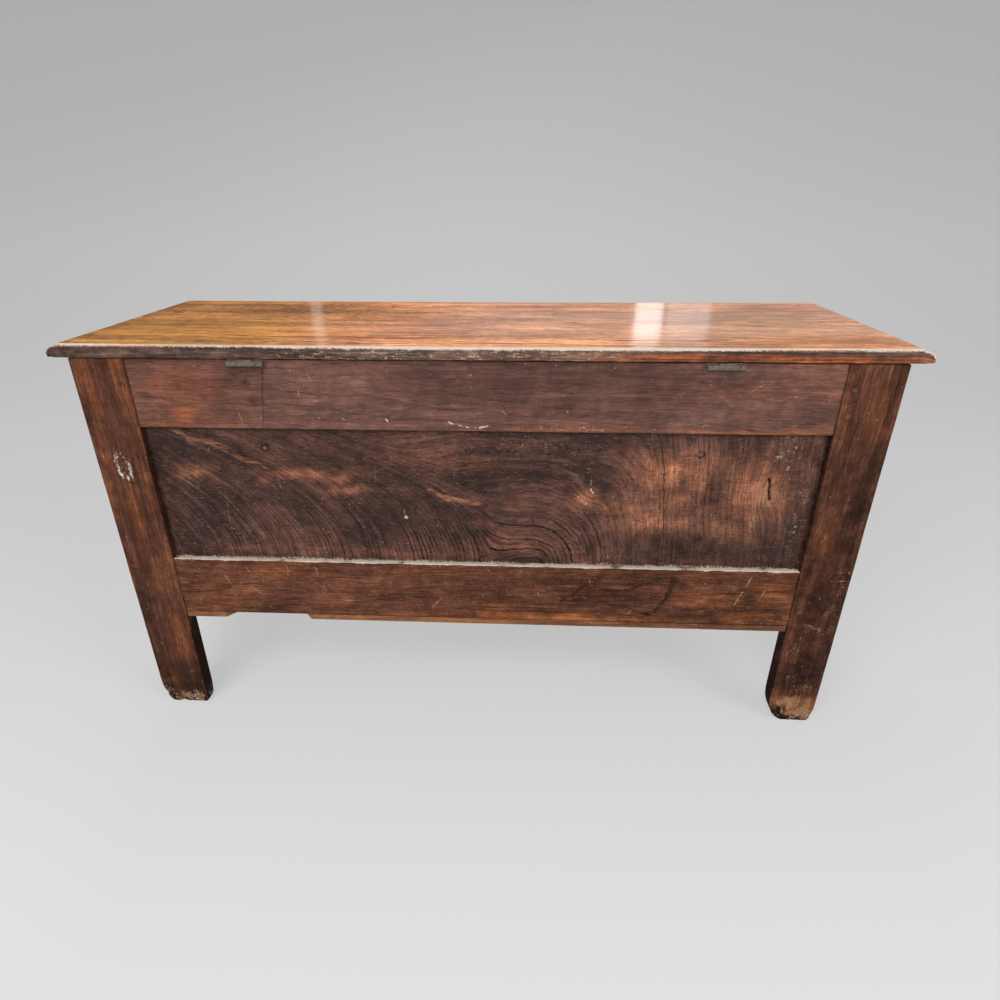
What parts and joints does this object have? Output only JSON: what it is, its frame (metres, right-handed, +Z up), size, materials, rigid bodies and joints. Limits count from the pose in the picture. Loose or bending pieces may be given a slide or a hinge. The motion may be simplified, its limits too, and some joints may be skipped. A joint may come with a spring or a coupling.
{
  "type": "mule chest",
  "caption": "Joined oak mule chest: framed and panelled box on stile feet, hinged plank lid with moulded ends and front, and side-by-side drawers in the base.",
  "frame": {"origin": "on the floor, under the middle of the chest's bounding box", "axes": "+X right, +Y back and +Z up, as seen by someone who faces the drawers"},
  "size_m": [1.366, 0.5274, 0.7053],
  "materials": {
    "frame_oak": "aged dark oak, worn to orange at the edges",
    "panel_oak": "aged dark oak, dull",
    "front_oak": "aged oak, waxed",
    "lid_oak": "varnished oak, glossy",
    "inside_oak": "unfinished oak",
    "drawer_oak": "unfinished oak",
    "peg_oak": "dark end grain",
    "hinge_iron": "rusted wrought iron"
  },
  "bodies": {
    "carcase": {"front_stile_left": "front_oak", "front_stile_right": "front_oak", "rear_stile_left": "frame_oak", "rear_stile_right": "frame_oak", "rear_top_rail": "frame_oak", "rear_bottom_rail": "frame_oak", "rear_panel": "panel_oak", "side_top_rail_left": "frame_oak", "side_top_rail_right": "frame_oak", "side_bottom_rail_left": "frame_oak", "side_bottom_rail_right": "frame_oak", "side_panel_left": "panel_oak", "side_panel_right": "panel_oak", "front_top_rail": "front_oak", "front_middle_rail": "front_oak", "front_bottom_rail": "front_oak", "front_muntin_left": "front_oak", "front_muntin_right": "front_oak", "front_panel_left": "panel_oak", "front_panel_centre": "panel_oak", "front_panel_right": "panel_oak", "drawer_divider": "front_oak", "joint_pegs": "peg_oak", "floor_ledger_rear": "inside_oak", "floor_board_outer_left": "inside_oak", "floor_board_inner_left": "inside_oak", "floor_board_inner_right": "inside_oak", "floor_board_outer_right": "inside_oak", "bottom_board_rear_long": "inside_oak", "bottom_board_rear_short": "inside_oak", "bottom_board_front": "inside_oak", "drawer_runner_left": "inside_oak", "drawer_runner_centre": "inside_oak", "drawer_runner_right": "inside_oak", "drawer_guides": "inside_oak", "hinge_lower_leaf_left": "hinge_iron", "hinge_lower_leaf_right": "hinge_iron", "hinge_pin_left": "hinge_iron", "hinge_pin_right": "hinge_iron", "hinge_screws_lower": "hinge_iron"},
    "lid": {"lid_board_rear": "lid_oak", "lid_board_front": "lid_oak", "lid_batten_left": "inside_oak", "lid_batten_right": "inside_oak", "hinge_upper_leaf_left": "hinge_iron", "hinge_upper_leaf_right": "hinge_iron", "hinge_screws_upper": "hinge_iron"},
    "drawer_left": {"drawer_left_front": "front_oak", "drawer_left_side_outer": "drawer_oak", "drawer_left_side_inner": "drawer_oak", "drawer_left_back": "drawer_oak", "drawer_left_bottom": "drawer_oak", "drawer_left_knobs": "front_oak"},
    "drawer_right": {"drawer_right_front": "front_oak", "drawer_right_side_outer": "drawer_oak", "drawer_right_side_inner": "drawer_oak", "drawer_right_back": "drawer_oak", "drawer_right_bottom": "drawer_oak", "drawer_right_knobs": "front_oak"}
  },
  "joints": [
    {"name": "lid_hinge", "type": "hinge", "parent": "carcase", "child": "lid", "pos_m": [0, 0.25925, 0.6771], "axis": [-1, 0, 0], "range_deg": [0, 105]},
    {"name": "drawer_left_slide", "type": "slide", "parent": "carcase", "child": "drawer_left", "axis": [0, -1, 0], "range_m": [0, 0.33]},
    {"name": "drawer_right_slide", "type": "slide", "parent": "carcase", "child": "drawer_right", "axis": [0, -1, 0], "range_m": [0, 0.33]}
  ]
}
